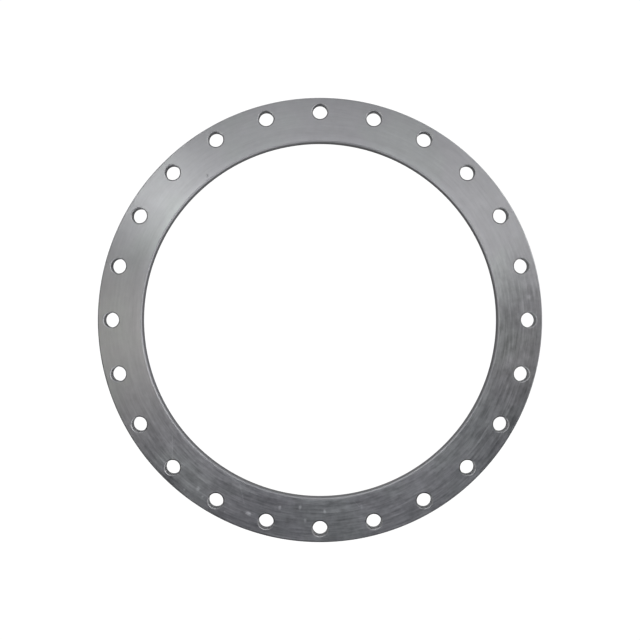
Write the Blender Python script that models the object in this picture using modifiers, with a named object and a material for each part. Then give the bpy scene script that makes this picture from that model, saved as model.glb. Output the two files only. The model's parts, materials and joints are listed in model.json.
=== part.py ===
"""Plate ring flange, DN 700 PN 10: one machined ring with a circle of bolt holes.

Blender 4.5, metres, +Z up. The ring lies on its back face. The origin is the centre of that
face, and +Z runs along the bore towards the gasket face. The first bolt hole is on +X.
"""

import math

import bpy

# Driving dimensions
OUTER_DIAMETER = 0.895
BORE_DIAMETER = 0.7165
THICKNESS = 0.035
BOLT_CIRCLE_DIAMETER = 0.840
BOLT_HOLE_DIAMETER = 0.030
BOLT_COUNT = 24
BORE_CHAMFER = 0.0027  # the bore's front edge
HOLE_CHAMFER = 0.002  # the countersink at both ends of each bolt hole
EDGE_BREAK = 0.0015  # both rim edges and the bore's back edge

# Facets: each pitch of the bolt circle holds a whole number of the ring's steps
RING_STEPS = 8 * BOLT_COUNT
HOLE_STEPS = 32
CUTTER_OVERRUN = 0.005
MERGE_DISTANCE = 0.00001
SHARP_ANGLE = math.radians(30)

STEEL_COLOR = (0.58, 0.59, 0.61, 1.0)
STEEL_ROUGHNESS = 0.38


def clear_scene():
    for obj in list(bpy.data.objects):
        bpy.data.objects.remove(obj, do_unlink=True)


def new_collection(name):
    collection = bpy.data.collections.new(name)
    bpy.context.scene.collection.children.link(collection)
    return collection


def turned(name, profile, steps, collection, closed=False):
    """An object turned about Z from (radius, height) points that run down its outer side."""
    count = len(profile)
    edges = [(i, i + 1) for i in range(count - 1)]
    if closed:
        edges.append((count - 1, 0))
    mesh = bpy.data.meshes.new(name)
    mesh.from_pydata([(radius, 0.0, height) for radius, height in profile], edges, [])
    obj = bpy.data.objects.new(name, mesh)
    collection.objects.link(obj)
    screw = obj.modifiers.new("Turning", "SCREW")
    screw.axis = "Z"
    screw.angle = math.tau
    screw.steps = steps
    screw.render_steps = steps
    screw.use_merge_vertices = True
    screw.merge_threshold = MERGE_DISTANCE
    return obj


def ring_blank(collection):
    """The ring before drilling: a rectangular section with its four edges chamfered."""
    outer = OUTER_DIAMETER / 2
    bore = BORE_DIAMETER / 2
    section = [
        (outer - EDGE_BREAK, THICKNESS),
        (outer, THICKNESS - EDGE_BREAK),
        (outer, EDGE_BREAK),
        (outer - EDGE_BREAK, 0.0),
        (bore + EDGE_BREAK, 0.0),
        (bore, EDGE_BREAK),
        (bore, THICKNESS - BORE_CHAMFER),
        (bore + BORE_CHAMFER, THICKNESS),
    ]
    return turned("flange_ring", section, RING_STEPS, collection, closed=True)


def bolt_hole_cutters(collection):
    """A cutter for each bolt hole: a drill with a 45 degree countersink at both faces."""
    drill = BOLT_HOLE_DIAMETER / 2
    flare = drill + HOLE_CHAMFER + CUTTER_OVERRUN
    profile = [
        (0.0, THICKNESS + CUTTER_OVERRUN),
        (flare, THICKNESS + CUTTER_OVERRUN),
        (drill, THICKNESS - HOLE_CHAMFER),
        (drill, HOLE_CHAMFER),
        (flare, -CUTTER_OVERRUN),
        (0.0, -CUTTER_OVERRUN),
    ]
    pattern = turned("bolt_hole_cutter", profile, HOLE_STEPS, collection)
    cutters = [pattern] + [pattern.copy() for _ in range(BOLT_COUNT - 1)]
    for index, cutter in enumerate(cutters):
        angle = math.tau * index / BOLT_COUNT
        cutter.location.x = BOLT_CIRCLE_DIAMETER / 2 * math.cos(angle)
        cutter.location.y = BOLT_CIRCLE_DIAMETER / 2 * math.sin(angle)
        cutter.rotation_euler.z = angle
        cutter.hide_render = True
        cutter.display_type = "WIRE"
        if cutter is not pattern:
            collection.objects.link(cutter)


def drill_bolt_holes(ring, cutters):
    drilling = ring.modifiers.new("Drilling", "BOOLEAN")
    drilling.operation = "DIFFERENCE"
    drilling.operand_type = "COLLECTION"
    drilling.collection = cutters
    drilling.solver = "EXACT"


def apply_modifiers(obj):
    depsgraph = bpy.context.evaluated_depsgraph_get()
    mesh = bpy.data.meshes.new_from_object(obj.evaluated_get(depsgraph))
    mesh.name = obj.name
    obj.modifiers.clear()
    obj.data = mesh


def turned_steel():
    material = bpy.data.materials.new("turned_steel")
    material.use_nodes = True
    shader = material.node_tree.nodes["Principled BSDF"]
    shader.inputs["Base Color"].default_value = STEEL_COLOR
    shader.inputs["Metallic"].default_value = 1.0
    shader.inputs["Roughness"].default_value = STEEL_ROUGHNESS
    return material


def main():
    clear_scene()
    parts = new_collection("plate_flange")
    cutters = new_collection("cutters")
    ring = ring_blank(parts)
    bolt_hole_cutters(cutters)
    drill_bolt_holes(ring, cutters)
    apply_modifiers(ring)
    ring.data.materials.clear()
    ring.data.materials.append(turned_steel())
    ring.data.shade_smooth()
    ring.data.set_sharp_from_angle(angle=SHARP_ANGLE)


main()
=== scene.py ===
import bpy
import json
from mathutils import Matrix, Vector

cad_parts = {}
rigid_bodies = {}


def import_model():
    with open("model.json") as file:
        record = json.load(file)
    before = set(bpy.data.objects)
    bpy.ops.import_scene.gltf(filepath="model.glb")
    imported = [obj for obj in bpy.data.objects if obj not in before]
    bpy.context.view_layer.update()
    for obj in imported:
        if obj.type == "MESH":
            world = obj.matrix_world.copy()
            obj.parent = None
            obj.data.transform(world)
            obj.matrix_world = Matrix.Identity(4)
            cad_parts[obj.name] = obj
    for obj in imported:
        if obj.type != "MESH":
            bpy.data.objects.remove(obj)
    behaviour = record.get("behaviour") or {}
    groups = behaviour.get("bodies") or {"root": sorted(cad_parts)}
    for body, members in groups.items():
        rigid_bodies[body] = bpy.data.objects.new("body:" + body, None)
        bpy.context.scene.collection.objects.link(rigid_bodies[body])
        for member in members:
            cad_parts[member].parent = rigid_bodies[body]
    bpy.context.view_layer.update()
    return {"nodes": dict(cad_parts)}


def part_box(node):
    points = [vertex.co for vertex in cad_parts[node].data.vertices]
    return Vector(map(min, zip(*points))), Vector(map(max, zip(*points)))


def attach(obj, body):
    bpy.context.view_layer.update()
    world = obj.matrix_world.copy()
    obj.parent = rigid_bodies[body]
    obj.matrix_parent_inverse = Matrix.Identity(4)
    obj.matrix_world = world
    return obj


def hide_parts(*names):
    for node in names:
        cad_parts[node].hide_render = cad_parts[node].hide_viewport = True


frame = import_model()

import json
import math
import random

import bpy
from mathutils import Matrix, Vector

NODE = "flange_ring"

# Sizes in metres. The ring's outline, thickness and bore come from the frame. The radii of the
# bolt circle and the bolt holes and the widths of the chamfers repeat the CAD part.
LOW, HIGH = (Vector(corner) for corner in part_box(NODE))
OUTER = (HIGH.x - LOW.x) / 2
THICKNESS = HIGH.z - LOW.z
BORE = min(math.hypot(v.co.x, v.co.y) for v in frame["nodes"][NODE].data.vertices)
BOLT_CIRCLE = 0.420
BOLT_HOLE = 0.015
BOLT_COUNT = 24
BORE_CHAMFER = 0.0027
HOLE_CHAMFER = 0.002
EDGE_BREAK = 0.0015

# Radii where the gasket face starts and ends, and the radius of a bolt hole's mouth
FACE_INNER = BORE + BORE_CHAMFER
FACE_OUTER = OUTER - EDGE_BREAK
MOUTH = BOLT_HOLE + HOLE_CHAMFER

# Every corner gets a small curve that reaches this far along both of its sides
ROUNDING = 0.0005

# How many flat steps go round the ring, round a bolt hole and into each of those small curves
RING_STEPS = 20 * BOLT_COUNT
HOLE_STEPS = 64
ARC_STEPS = 3
CUTTER_OVERRUN = 0.004
TOLERANCE = 0.00001

# Small nicks in the edges and one pit in the face, each the bite of a ball. For a nick, the ball's
# radius and the depth are drawn between two limits.
NICK_SEED = 7
NICK_BALL = (0.003, 0.006)
NICK_DEPTH = (0.0004, 0.0009)
RANDOM_NICKS = 6
PIT_ANGLE = 128.0
PIT_RADIUS = 0.369
PIT_BALL = 0.0032
PIT_DEPTH = 0.0008

# The camera stands over the ring's centre, with +Y up in the picture
CAMERA_HEIGHT = 2.7
CAMERA_LENS = 75.46
FOCUS = Vector((0, 0, THICKNESS))

# The studio's surround: its even parts, then each window's azimuth in degrees and its strength
AMBIENT = 0.033
AMBIENT_BLUE = (0.78, 0.84, 1.38, 1)
WALL_GLOW = 0.24
HORIZON_GLOW = 0.41
WINDOWS = [(80, 0.65), (120, 1.35), (220, 2.0), (304, 1.45), (348, 2.1)]
WINDOW_FOCUS = 6.0
# Heights in the surround, as sines of the elevation. The horizon and its windows fade out at the
# first, where the wall's glow is full, and that glow fades between the other two.
HORIZON_TOP = 0.34
WALL_FADE = (0.45, 0.75)

FLOOR_SIZE = 60
FLOOR_GAP = 0.0005
FLOOR_GREY = (0.62, 0.62, 0.62, 1)
WHITE = (1, 1, 1, 1)
# How bright the floor and the surround are where the camera sees them
BACKDROP = 1.05

# Softboxes over the ring, all as far from its face: name, azimuth and tilt from straight overhead
# in degrees, width, length, radiance and colour
LAMP_DISTANCE = 4.5
NEUTRAL = (1, 1, 1)
WARM = (1.05, 1.02, 0.93)
COOL = (0.98, 1.0, 1.02)
GREENISH = (0.99, 1.015, 1.0)
SOFTBOXES = [
    ("overhead_bank", 100, 12, 2.0, 1.0, 1.40, NEUTRAL),
    ("left_rear_lamp", 143, 22, 0.45, 1.0, 4.85, GREENISH),
    ("right_rear_box", 30, 45, 2.4, 1.6, 3.22, NEUTRAL),
    ("right_rear_strip", 25, 32, 1.2, 1.4, 1.15, NEUTRAL),
    ("rear_box", 60, 40, 1.6, 1.6, 0.90, NEUTRAL),
    ("rear_strip", 100, 32, 1.2, 1.2, 0.65, NEUTRAL),
    ("left_box", 180, 36, 1.2, 1.4, 1.26, WARM),
    ("left_bank", 190, 34, 1.8, 1.4, 1.10, WARM),
    ("front_left_strip", 233, 36, 0.8, 1.4, 0.80, NEUTRAL),
    ("front_box", 290, 42, 2.4, 1.6, 0.56, COOL),
    ("right_strip", 349, 30, 0.5, 1.2, 0.96, WARM),
]

# Colours of the steel. The face drifts between two of them.
FACE_TINTS = (0.559, 0.558, 0.568, 1), (0.554, 0.567, 0.562, 1)
RIM_COLOR = (0.53, 0.54, 0.55)
BORE_COLOR = (0.555, 0.558, 0.570)
HOLE_COLOR = (0.74, 0.745, 0.75)

# Azimuths in degrees of the sides that differ from the rest of the ring: one in wear, three in
# painted light and shade
HANDLED_SIDE = 290
SHADED_RIM_SIDE = 255
HOLE_PAINTED_LIGHT_SIDE = 270
SHADED_WALL_SIDE = 85

# Radii between which the face changes: a painted highlight line and a painted highlight band beside
# the bore fade out, the outer part gets darker as painted shade, and so does a line along the rim
PAINTED_HIGHLIGHT_LINE = (0.3610, 0.3632)
PAINTED_HIGHLIGHT_BAND = (0.3660, 0.3745)
PAINTED_SHADE_OUTWARD = (BOLT_CIRCLE - 0.035, OUTER)
PAINTED_SHADE_LINE = (OUTER - 0.0045, FACE_OUTER)

# Radii between which the painted shade on a bolt hole's chamfer changes from its inner side to its
# flanks, and from its flanks to its outer side
INNER_TO_FLANKS = (BOLT_CIRCLE - 0.006, BOLT_CIRCLE + 0.004)
FLANKS_TO_OUTER = (BOLT_CIRCLE + 0.012, BOLT_CIRCLE + 0.016)

# Marks on the gasket face, each placed by its angle from +X in degrees and its radius. A scuff
# also has a half width, a half length along the ring and a strength, below zero for a stain.
SCUFFS = [
    (228.5, 0.4400, 0.0110, 0.0520, -0.44),
    (243.0, 0.3710, 0.0120, 0.0580, 0.24),
    (231.3, 0.4370, 0.0030, 0.0035, 0.7),
    (234.1, 0.4185, 0.0060, 0.0060, 0.7),
    (236.4, 0.4270, 0.0040, 0.0035, 0.6),
    (248.7, 0.3732, 0.0032, 0.0200, 0.45),
    (243.5, 0.4302, 0.0030, 0.0030, 0.5),
    (249.7, 0.4152, 0.0055, 0.0105, 1.1),
    (257.9, 0.3860, 0.0068, 0.0042, 0.8),
    (265.0, 0.4390, 0.0120, 0.0850, 0.24),
    (263.9, 0.3788, 0.0072, 0.0048, 0.9),
    (265.8, 0.4045, 0.0060, 0.0038, 0.7),
    (271.4, 0.3850, 0.0065, 0.0040, 0.7),
    (274.8, 0.3870, 0.0055, 0.0190, 0.35),
    (282.5, 0.3850, 0.0070, 0.0035, 0.4),
    (299.5, 0.3990, 0.0025, 0.0200, 0.35),
    (332.0, 0.4340, 0.0140, 0.0380, -0.22),
    (340.0, 0.3900, 0.0100, 0.0300, 0.12),
    (348.5, 0.3915, 0.0040, 0.0120, 0.3),
    (348.5, 0.4000, 0.0360, 0.0280, 0.22),
    (359.5, 0.3935, 0.0075, 0.0450, -0.16),
    (6.2, 0.4227, 0.0080, 0.0070, 0.35),
    (10.0, 0.3890, 0.0110, 0.0300, -0.12),
    (10.0, 0.4360, 0.0130, 0.0320, 0.15),
    (34.8, 0.3970, 0.0040, 0.0140, -0.12),
    (112.8, 0.4015, 0.0040, 0.0130, -0.10),
    (128.0, 0.3683, 0.0056, 0.0054, -0.42),
    (161.0, 0.3920, 0.0280, 0.0420, -0.09),
]

# A scratch has the angle and radius of both its ends. It is gone at the first of these distances
# from its line, and full at the second.
SCRATCH_FADE = (0.0016, 0.0002)
SCRATCHES = [
    (217.9, 0.3767, 223.5, 0.4097),
    (221.9, 0.4035, 235.1, 0.3999),
    (280.5, 0.3700, 282.0, 0.3850),
    (244.0, 0.3680, 247.5, 0.3990),
]


def on_ring(angle, radius, height=THICKNESS):
    return Vector((radius * math.cos(angle), radius * math.sin(angle), height))


def toward(azimuth):
    """The level unit vector that points to this azimuth in degrees."""
    return on_ring(math.radians(azimuth), 1.0, 0.0)


# ------------------------------------------------------------------ shape


def rounded(corners, closed):
    """The outline with a short curve in place of each corner."""
    count = len(corners)
    points = []
    for i, corner in enumerate(corners):
        here = Vector(corner)
        if not closed and i in (0, count - 1):
            points.append(here)
            continue
        before = here + (Vector(corners[i - 1]) - here).normalized() * ROUNDING
        after = here + (Vector(corners[(i + 1) % count]) - here).normalized() * ROUNDING
        for k in range(ARC_STEPS + 1):
            t = k / ARC_STEPS
            points.append(before.lerp(here, t).lerp(here.lerp(after, t), t))
    return points


def turned(name, profile, steps, closed=False):
    """An object turned about Z from (radius, height) points that run down its outer side."""
    count = len(profile)
    edges = [(i, i + 1) for i in range(count - 1)]
    if closed:
        edges.append((count - 1, 0))
    mesh = bpy.data.meshes.new(name)
    mesh.from_pydata([(p[0], 0.0, p[1]) for p in profile], edges, [])
    obj = bpy.data.objects.new(name, mesh)
    screw = obj.modifiers.new("Turning", "SCREW")
    screw.steps = steps
    screw.render_steps = steps
    screw.use_merge_vertices = True
    screw.merge_threshold = TOLERANCE
    return obj


def ring_section():
    corners = [
        (FACE_OUTER, THICKNESS),
        (OUTER, THICKNESS - EDGE_BREAK),
        (OUTER, EDGE_BREAK),
        (FACE_OUTER, 0.0),
        (BORE + EDGE_BREAK, 0.0),
        (BORE, EDGE_BREAK),
        (BORE, THICKNESS - BORE_CHAMFER),
        (FACE_INNER, THICKNESS),
    ]
    return rounded(corners, closed=True)


def drill_section():
    """A bolt hole's outline, with mouths that leave both faces at a shallow slope.

    The points that lie in the plane of a face are left out, and the outline crosses that plane on
    its way to a lip just beyond it, because a cut along the plane itself would be uncertain.
    """
    on_face = MOUTH + 2 * ROUNDING
    corners = [
        (on_face, THICKNESS),
        (MOUTH, THICKNESS),
        (BOLT_HOLE, THICKNESS - HOLE_CHAMFER),
        (BOLT_HOLE, HOLE_CHAMFER),
        (MOUTH, 0.0),
        (on_face, 0.0),
    ]
    lip = MOUTH + 1.6 * ROUNDING
    above = [
        (0.0, THICKNESS + CUTTER_OVERRUN),
        (lip, THICKNESS + CUTTER_OVERRUN),
        (lip, THICKNESS + 0.25 * ROUNDING),
    ]
    below = [(radius, THICKNESS - height) for radius, height in reversed(above)]
    return above + rounded(corners, closed=False)[2:-2] + below


def cutter_collection(name, cutters):
    collection = bpy.data.collections.new(name)
    bpy.context.scene.collection.children.link(collection)
    for cutter in cutters:
        collection.objects.link(cutter)
        cutter.hide_render = True
        cutter.display_type = "WIRE"
    return collection


def drills():
    pattern = turned("drill", drill_section(), HOLE_STEPS)
    cutters = [pattern] + [pattern.copy() for _ in range(BOLT_COUNT - 1)]
    for index, cutter in enumerate(cutters):
        angle = math.tau * index / BOLT_COUNT
        cutter.location = on_ring(angle, BOLT_CIRCLE, 0.0)
        cutter.rotation_euler.z = angle
    return cutter_collection("drills", cutters)


def ball(name, centre, radius):
    bpy.ops.mesh.primitive_uv_sphere_add(segments=32, ring_count=16, radius=radius, location=centre)
    obj = bpy.context.object
    obj.name = name
    for collection in list(obj.users_collection):
        collection.objects.unlink(obj)
    return obj


def nicks():
    """Balls that bite small nicks out of the edges, and the pit in the face."""
    draw = random.Random(NICK_SEED)
    half_break = EDGE_BREAK / 2
    # Each edge as a point of the section and the direction that leads out of it
    rim = Vector((OUTER - half_break, THICKNESS - half_break)), Vector((1, 1)).normalized()
    back = Vector((OUTER - half_break, half_break)), Vector((1, -1)).normalized()
    bore = Vector((FACE_INNER, THICKNESS)), Vector((-1, 1)).normalized()
    places = [(120.3, rim), (205, rim), (292, rim), (338, rim), (238, bore), (18, bore), (160, back)]
    places += [(draw.uniform(0, 360), draw.choice((rim, back))) for _ in range(RANDOM_NICKS)]
    cutters = []
    for number, (angle, (edge, direction)) in enumerate(places):
        radius = draw.uniform(*NICK_BALL)
        depth = draw.uniform(*NICK_DEPTH)
        centre = edge + direction * (radius - depth)
        cutters.append(ball(f"nick_{number}", on_ring(math.radians(angle), *centre), radius))
    pit = on_ring(math.radians(PIT_ANGLE), PIT_RADIUS, THICKNESS + PIT_BALL - PIT_DEPTH)
    return cutter_collection("nicks", cutters + [ball("pit", pit, PIT_BALL)])


def cut(ring, cutters):
    boolean = ring.modifiers.new(cutters.name, "BOOLEAN")
    boolean.operation = "DIFFERENCE"
    boolean.operand_type = "COLLECTION"
    boolean.collection = cutters
    boolean.solver = "MANIFOLD"


def apply_modifiers(obj):
    depsgraph = bpy.context.evaluated_depsgraph_get()
    mesh = bpy.data.meshes.new_from_object(obj.evaluated_get(depsgraph))
    obj.modifiers.clear()
    obj.data = mesh


def discard(cutters):
    for cutter in list(cutters.objects):
        bpy.data.objects.remove(cutter)
    bpy.data.collections.remove(cutters)


def settle_normals(mesh):
    """Every wide face keeps its own normals right up to the small curves that border it."""
    leaning = [Vector() for _ in mesh.vertices]
    for polygon in mesh.polygons:
        for index in polygon.vertices:
            leaning[index] += polygon.normal * polygon.area ** 2
    mesh.normals_split_custom_set_from_vertices([normal.normalized() for normal in leaning])


def surface_of(centre):
    """The function that makes the material of the polygon with this centre."""
    radius = math.hypot(centre.x, centre.y)
    pitch = math.tau / BOLT_COUNT
    hole = on_ring(round(math.atan2(centre.y, centre.x) / pitch) * pitch, BOLT_CIRCLE, centre.z)
    if (centre - hole).length < MOUTH + ROUNDING:
        return drilled_hole
    if min(centre.z, THICKNESS - centre.z) < TOLERANCE:
        return turned_face
    if radius < FACE_INNER + ROUNDING:
        return bored_wall
    return turned_rim if radius > FACE_OUTER - ROUNDING else turned_face


def machined_ring():
    ring = turned("machined_ring", ring_section(), RING_STEPS, closed=True)
    bpy.context.scene.collection.objects.link(ring)
    cutters = drills(), nicks()
    for collection in cutters:
        cut(ring, collection)
    apply_modifiers(ring)
    for collection in cutters:
        discard(collection)
    ring.data.materials.clear()
    surfaces = [turned_face, drilled_hole, bored_wall, turned_rim]
    for material_of in surfaces:
        ring.data.materials.append(material_of())
    for polygon in ring.data.polygons:
        polygon.material_index = surfaces.index(surface_of(polygon.center))
    ring.data.shade_smooth()
    settle_normals(ring.data)
    return ring


# ------------------------------------------------------------------ materials


class Graph:
    """A node tree built by short calls, most of which give back an output socket."""

    def __init__(self, tree):
        self.tree = tree
        tree.nodes.clear()

    def feed(self, socket, value):
        if isinstance(value, bpy.types.NodeSocket):
            self.tree.links.new(value, socket)
        elif value is not None:
            socket.default_value = value

    def node(self, kind, inputs=(), **settings):
        node = self.tree.nodes.new(kind)
        for name, value in settings.items():
            setattr(node, name, value)
        for key, value in dict(inputs).items():
            self.feed(node.inputs[key], value)
        return node

    def math(self, operation, a, b=None, clamp=False):
        node = self.node("ShaderNodeMath", {0: a, 1: b}, operation=operation, use_clamp=clamp)
        return node.outputs[0]

    def vector(self, operation, a, b=None):
        node = self.node("ShaderNodeVectorMath", {0: a, 1: b}, operation=operation)
        scalar = operation in ("LENGTH", "DOT_PRODUCT")
        return node.outputs["Value" if scalar else "Vector"]

    def scaled(self, vector, scale):
        inputs = {"Vector": vector, "Scale": scale}
        return self.node("ShaderNodeVectorMath", inputs, operation="SCALE").outputs["Vector"]

    def ramp(self, value, start, end, low=0.0, high=1.0):
        """A smooth step from low to high as the value goes from start to end."""
        inputs = {"Value": value, "From Min": start, "From Max": end, "To Min": low, "To Max": high}
        node = self.node("ShaderNodeMapRange", inputs, interpolation_type="SMOOTHSTEP")
        return node.outputs["Result"]

    def noise(self, vector, scale=1.0, detail=2.0, roughness=0.5):
        inputs = {"Vector": vector, "Scale": scale, "Detail": detail, "Roughness": roughness}
        return self.node("ShaderNodeTexNoise", inputs).outputs[0]

    def blend(self, factor, a, b):
        node = self.node("ShaderNodeMix", {"Factor": factor}, data_type="RGBA")
        self.feed(node.inputs[6], a)
        self.feed(node.inputs[7], b)
        return node.outputs[2]

    def tinted(self, color, factor):
        """A colour multiplied by a number."""
        grey = self.node("ShaderNodeCombineXYZ", {i: factor for i in range(3)}).outputs[0]
        return self.vector("MULTIPLY", color, grey)

    def around_zero(self, value, amount):
        """A noise from 0 to 1 turned into one from -amount / 2 to amount / 2."""
        return self.product(self.math("SUBTRACT", value, 0.5), amount)

    def total(self, *values):
        result = values[0]
        for value in values[1:]:
            result = self.math("ADD", result, value)
        return result

    def product(self, *values):
        result = values[0]
        for value in values[1:]:
            result = self.math("MULTIPLY", result, value)
        return result

    def between(self, share, a, b):
        """A number that goes from a to b as the share goes from 0 to 1."""
        return self.total(a, self.product(share, self.math("SUBTRACT", b, a)))


class Lathe:
    """Coordinates of a surface turned about Z: direction from the axis, radius, height and feed.

    The feed grows along the section, across the tool's path, on faces and on walls alike.
    """

    def __init__(self, graph):
        self.graph = graph
        self.position = graph.node("ShaderNodeTexCoord").outputs["Object"]
        flat = graph.vector("MULTIPLY", self.position, (1, 1, 0))
        self.radius = graph.vector("LENGTH", flat)
        self.outward = graph.vector("NORMALIZE", flat)
        self.height = graph.node("ShaderNodeSeparateXYZ", {0: self.position}).outputs["Z"]
        self.feed = graph.math("ADD", self.radius, self.height)

    def facing(self, azimuth):
        """1 on the side of the ring at this azimuth in degrees, and -1 on the other side."""
        return self.graph.vector("DOT_PRODUCT", self.outward, toward(azimuth))

    def streaks(self, around, across, detail=2.0, roughness=0.5):
        """Noise drawn out along the tool's path, with around and across features per metre."""
        graph = self.graph
        step = graph.product(self.feed, across)
        depth = graph.node("ShaderNodeCombineXYZ", {"Z": step}).outputs[0]
        place = graph.vector("ADD", graph.scaled(self.outward, around * BOLT_CIRCLE), depth)
        return graph.noise(place, detail=detail, roughness=roughness)


def steel(name):
    material = bpy.data.materials.new(name)
    material.use_nodes = True
    graph = Graph(material.node_tree)
    shader = graph.node("ShaderNodeBsdfPrincipled", {"Metallic": 1.0})
    graph.node("ShaderNodeOutputMaterial", {"Surface": shader.outputs[0]})
    return material, graph, shader


def grooved(graph, shader, anisotropy):
    """Grooves round the axis. The quarter turn spreads reflections across them, not along them."""
    tangent = graph.node("ShaderNodeTangent", direction_type="RADIAL", axis="Z").outputs[0]
    graph.feed(shader.inputs["Tangent"], tangent)
    shader.inputs["Anisotropic"].default_value = anisotropy
    shader.inputs["Anisotropic Rotation"].default_value = 0.25


def bump(graph, shader, height, depth):
    inputs = {"Height": height, "Distance": depth, "Strength": 1.0}
    graph.feed(shader.inputs["Normal"], graph.node("ShaderNodeBump", inputs).outputs[0])


def colored(graph, shader, color, tone, roughness):
    """A base colour that the tone makes lighter or darker, and a roughness."""
    graph.feed(shader.inputs["Base Color"], graph.tinted(color, tone))
    graph.feed(shader.inputs["Roughness"], roughness)


def scuff_mask(graph, lathe):
    """Soft oval marks where the face was knocked or touched, above zero where it got lighter."""
    marks = []
    ragged = graph.around_zero(graph.noise(lathe.position, scale=260), 0.9)
    for angle, radius, width, length, strength in SCUFFS:
        angle = math.radians(angle)
        centre = on_ring(angle, radius)
        away = graph.vector("SUBTRACT", lathe.position, centre)
        across = graph.vector("DOT_PRODUCT", away, on_ring(angle, 1 / width, 0.0))
        along = graph.vector("DOT_PRODUCT", away, on_ring(angle + math.pi / 2, 1 / length, 0.0))
        place = graph.node("ShaderNodeCombineXYZ", {0: across, 1: along}).outputs[0]
        reach = graph.math("ADD", graph.vector("LENGTH", place), ragged)
        spot = graph.ramp(reach, 1.0, 0.1)
        marks.append(graph.product(spot, strength))
    # The back face shares this material, and has no marks
    front = graph.ramp(lathe.height, 0.0, THICKNESS)
    return graph.product(graph.total(*marks), front)


def scratch_mask(graph, lathe):
    """Fine straight lines between the two ends of each scratch."""
    mask = None
    for angle_a, radius_a, angle_b, radius_b in SCRATCHES:
        start = on_ring(math.radians(angle_a), radius_a)
        run = on_ring(math.radians(angle_b), radius_b) - start
        away = graph.vector("SUBTRACT", lathe.position, start)
        along = graph.vector("DOT_PRODUCT", away, run)
        share = graph.math("DIVIDE", along, run.length_squared, clamp=True)
        beside = graph.vector("LENGTH", graph.vector("SUBTRACT", away, graph.scaled(run, share)))
        line = graph.ramp(beside, *SCRATCH_FADE)
        mask = line if mask is None else graph.math("MAXIMUM", mask, line)
    return graph.product(mask, graph.noise(lathe.position, scale=90))


def turned_face():
    material, graph, shader = steel("turned_face")
    lathe = Lathe(graph)
    grooved(graph, shader, anisotropy=0.778)
    # One side of the ring has been handled more, so its wear is stronger
    handled = graph.ramp(lathe.facing(HANDLED_SIDE), -0.15, 0.45, low=0.25, high=1.15)

    fine = lathe.streaks(around=4, across=620)
    bands = lathe.streaks(around=2.5, across=170, detail=3)
    smears = lathe.streaks(around=26, across=260, detail=3, roughness=0.6)
    mottle = graph.noise(lathe.position, scale=75, detail=4, roughness=0.6)
    patches = graph.noise(lathe.position, scale=20)
    haze = graph.noise(lathe.position, scale=9)
    scuffs = scuff_mask(graph, lathe)
    scratches = scratch_mask(graph, lathe)

    wear = graph.total(
        graph.around_zero(smears, 0.85),
        graph.around_zero(mottle, 0.60),
        graph.around_zero(bands, 0.50),
        graph.around_zero(patches, 0.38),
    )
    tone = graph.total(
        1.0,
        graph.product(wear, handled),
        graph.around_zero(haze, 0.10),
        graph.product(scuffs, 0.7),
        graph.product(scratches, 0.35),
        # Painted highlights: a line and a band beside the bore are lighter
        graph.ramp(lathe.radius, *PAINTED_HIGHLIGHT_LINE, low=0.08, high=0.0),
        graph.ramp(lathe.radius, *PAINTED_HIGHLIGHT_BAND, low=0.10, high=0.0),
        # Painted shade: a line along the rim is darker
        graph.ramp(lathe.radius, *PAINTED_SHADE_LINE, low=0.0, high=-0.13),
    )
    # Painted shade: the outer part of the face is darker
    darker = graph.ramp(lathe.radius, *PAINTED_SHADE_OUTWARD, low=1.0, high=0.885)
    tint = graph.blend(graph.ramp(haze, 0.45, 0.65), *FACE_TINTS)
    rough = graph.total(
        0.331,
        graph.around_zero(bands, 0.04),
        graph.product(graph.around_zero(smears, 0.12), handled),
        graph.product(scuffs, 0.10),
    )
    colored(graph, shader, tint, graph.product(tone, darker), rough)
    height = graph.total(
        graph.around_zero(fine, 0.5),
        graph.around_zero(bands, 1.0),
        graph.product(graph.around_zero(smears, 2.0), handled),
        graph.product(scratches, -1.0),
    )
    bump(graph, shader, height, depth=0.00004)
    return material


def turned_rim():
    material, graph, shader = steel("turned_rim")
    lathe = Lathe(graph)
    grooved(graph, shader, anisotropy=0.6)
    grooves = lathe.streaks(around=3, across=900)
    stain = graph.noise(lathe.position, scale=14, detail=4)
    rubbed = lathe.streaks(around=22, across=240, detail=3, roughness=0.6)
    tone = graph.total(
        1.0,
        graph.around_zero(grooves, 0.35),
        graph.around_zero(stain, 0.40),
        graph.around_zero(rubbed, 0.45),
    )
    # Painted shade: on one side the rim is darker, most of all at its edges
    rim_shade = graph.ramp(lathe.facing(SHADED_RIM_SIDE), -0.1, 0.35, low=0.0, high=0.66)
    from_middle = graph.math("ABSOLUTE", graph.math("SUBTRACT", lathe.height, THICKNESS / 2))
    edge = THICKNESS / 2 - EDGE_BREAK
    near_edge = graph.ramp(from_middle, edge - 2 * EDGE_BREAK, edge, low=0.35, high=1.0)
    unshaded = graph.math("SUBTRACT", 1.0, graph.product(rim_shade, near_edge))
    rough = graph.total(0.38, graph.around_zero(stain, 0.12))
    colored(graph, shader, RIM_COLOR, graph.product(tone, unshaded), rough)
    bump(graph, shader, grooves, depth=0.00012)
    return material


def bored_wall():
    """The bore's wall, with the chamfers at both its ends."""
    material, graph, shader = steel("bored_wall")
    lathe = Lathe(graph)
    grooved(graph, shader, anisotropy=0.6)
    grooves = lathe.streaks(around=4, across=1100)
    stain = graph.noise(lathe.position, scale=18, detail=3)
    tone = graph.total(1.0, graph.around_zero(grooves, 0.32), graph.around_zero(stain, 0.35))
    # Painted shade: the wall is darker than the chamfer over it, and darkest on one side
    wall = graph.ramp(lathe.facing(SHADED_WALL_SIDE), -0.5, 0.5, low=0.70, high=0.51)
    foot = THICKNESS - BORE_CHAMFER
    up_chamfer = graph.ramp(lathe.height, foot - ROUNDING, foot + 0.8 * BORE_CHAMFER)
    tone = graph.product(tone, graph.between(up_chamfer, wall, 0.98))
    rough = graph.total(0.34, graph.around_zero(stain, 0.1))
    colored(graph, shader, BORE_COLOR, tone, rough)
    bump(graph, shader, grooves, depth=0.00008)
    return material


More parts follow.
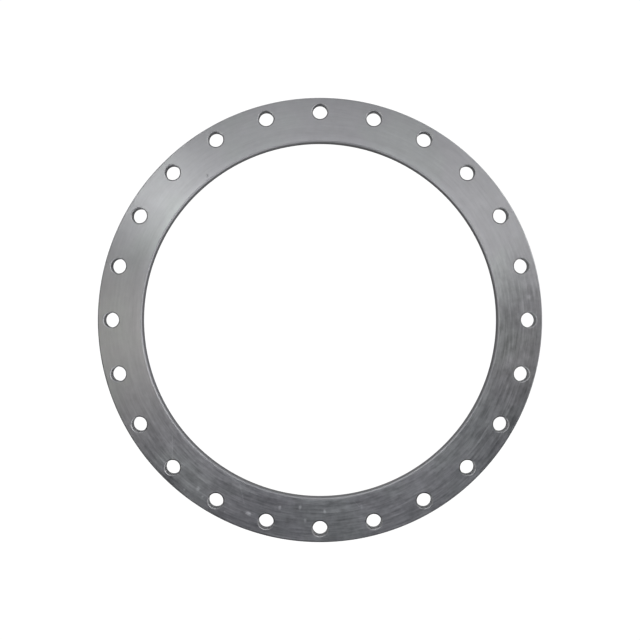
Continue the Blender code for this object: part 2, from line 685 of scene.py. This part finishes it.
def drilled_hole():
    """A bolt hole's wall, with the chamfers at both its ends."""
    material, graph, shader = steel("drilled_hole")
    lathe = Lathe(graph)
    rings = lathe.streaks(around=30, across=700)
    stain = graph.noise(lathe.position, scale=60, detail=3)
    tone = graph.total(1.0, graph.around_zero(rings, 0.2), graph.around_zero(stain, 0.25))
    # Painted light: the holes on one side are brighter inside
    side = lathe.facing(HOLE_PAINTED_LIGHT_SIDE)
    tone = graph.product(tone, graph.ramp(side, -0.4, 0.4, low=1.0, high=1.15))
    # Painted shade: the upper chamfers are darkest on their inner side, and more so on that side of
    # the ring
    inner = graph.ramp(side, 0.0, 0.8, low=0.36, high=0.10)
    flanks = graph.ramp(side, 0.0, 0.8, low=0.80, high=0.50)
    outer = graph.ramp(lathe.radius, *FLANKS_TO_OUTER, low=flanks, high=0.78)
    chamfer = graph.ramp(lathe.radius, *INNER_TO_FLANKS, low=inner, high=outer)
    foot = THICKNESS - HOLE_CHAMFER
    on_chamfer = graph.ramp(lathe.height, foot - ROUNDING, foot)
    tone = graph.product(tone, graph.between(on_chamfer, 1.0, chamfer))
    rough = graph.total(0.42, graph.around_zero(stain, 0.15))
    colored(graph, shader, HOLE_COLOR, tone, rough)
    bump(graph, shader, rings, depth=0.0001)
    return material


# ------------------------------------------------------------------ studio


def white_for_camera(graph, surface, glow_kind, output_kind):
    """White where the camera looks straight at it, and the given surface for every other ray."""
    seen = graph.node("ShaderNodeLightPath").outputs["Is Camera Ray"]
    glow = graph.node(glow_kind, {"Color": WHITE, "Strength": BACKDROP}).outputs[0]
    mixed = graph.node("ShaderNodeMixShader", {0: seen, 1: surface, 2: glow}).outputs[0]
    graph.node(output_kind, {"Surface": mixed})


def studio_floor():
    bpy.ops.mesh.primitive_plane_add(size=FLOOR_SIZE, location=(0, 0, LOW.z - FLOOR_GAP))
    plane = bpy.context.object
    plane.name = "studio_floor"
    material = bpy.data.materials.new("white_floor")
    material.use_nodes = True
    graph = Graph(material.node_tree)
    paint = graph.node("ShaderNodeBsdfDiffuse", {"Color": FLOOR_GREY}).outputs[0]
    white_for_camera(graph, paint, "ShaderNodeEmission", "ShaderNodeOutputMaterial")
    plane.data.materials.append(material)


def studio_walls():
    """A dim surround with a glow along the horizon, brighter towards each window."""
    world = bpy.data.worlds.new("studio")
    world.use_nodes = True
    graph = Graph(world.node_tree)
    direction = graph.node("ShaderNodeTexCoord").outputs["Generated"]
    height = graph.node("ShaderNodeSeparateXYZ", {0: direction}).outputs["Z"]
    glow = HORIZON_GLOW
    for azimuth, strength in WINDOWS:
        facing = graph.vector("DOT_PRODUCT", direction, toward(azimuth))
        lobe = graph.math("POWER", graph.math("MAXIMUM", facing, 0.0), WINDOW_FOCUS)
        glow = graph.total(glow, graph.product(lobe, strength))
    near_horizon = graph.ramp(height, 0.0, HORIZON_TOP, low=1.0, high=0.0)
    above_horizon = graph.ramp(height, 0.0, HORIZON_TOP)
    wall = graph.ramp(height, *WALL_FADE, low=WALL_GLOW, high=0.0)
    bright = graph.total(graph.product(near_horizon, glow), graph.product(above_horizon, wall))
    lit = graph.node("ShaderNodeBackground", {"Color": WHITE, "Strength": bright})
    dim = graph.node("ShaderNodeBackground", {"Color": AMBIENT_BLUE, "Strength": AMBIENT})
    walls = graph.node("ShaderNodeAddShader", {0: lit.outputs[0], 1: dim.outputs[0]}).outputs[0]
    white_for_camera(graph, walls, "ShaderNodeBackground", "ShaderNodeOutputWorld")
    bpy.context.scene.world = world


def softbox(name, azimuth, tilt, width, length, radiance, color):
    """A rectangle of light that faces the ring."""
    light = bpy.data.lights.new(name, "AREA")
    light.shape = "RECTANGLE"
    light.size = length
    light.size_y = width
    light.color = color
    light.energy = radiance * math.pi * width * length
    aim = Matrix.Rotation(math.radians(azimuth), 4, "Z") @ Matrix.Rotation(math.radians(tilt), 4, "Y")
    lamp = bpy.data.objects.new(name, light)
    lamp.matrix_world = Matrix.Translation(FOCUS) @ aim @ Matrix.Translation((0, 0, LAMP_DISTANCE))
    lamp.visible_camera = False
    bpy.context.scene.collection.objects.link(lamp)


def camera():
    data = bpy.data.cameras.new("camera")
    data.lens = CAMERA_LENS
    eye = bpy.data.objects.new("camera", data)
    eye.location = FOCUS + Vector((0, 0, CAMERA_HEIGHT))
    bpy.context.scene.collection.objects.link(eye)
    bpy.context.scene.camera = eye


camera()
studio_walls()
studio_floor()
for lamp in SOFTBOXES:
    softbox(*lamp)
bpy.context.scene.view_settings.view_transform = "Standard"

ring = machined_ring()
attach(ring, "root")
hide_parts(NODE)
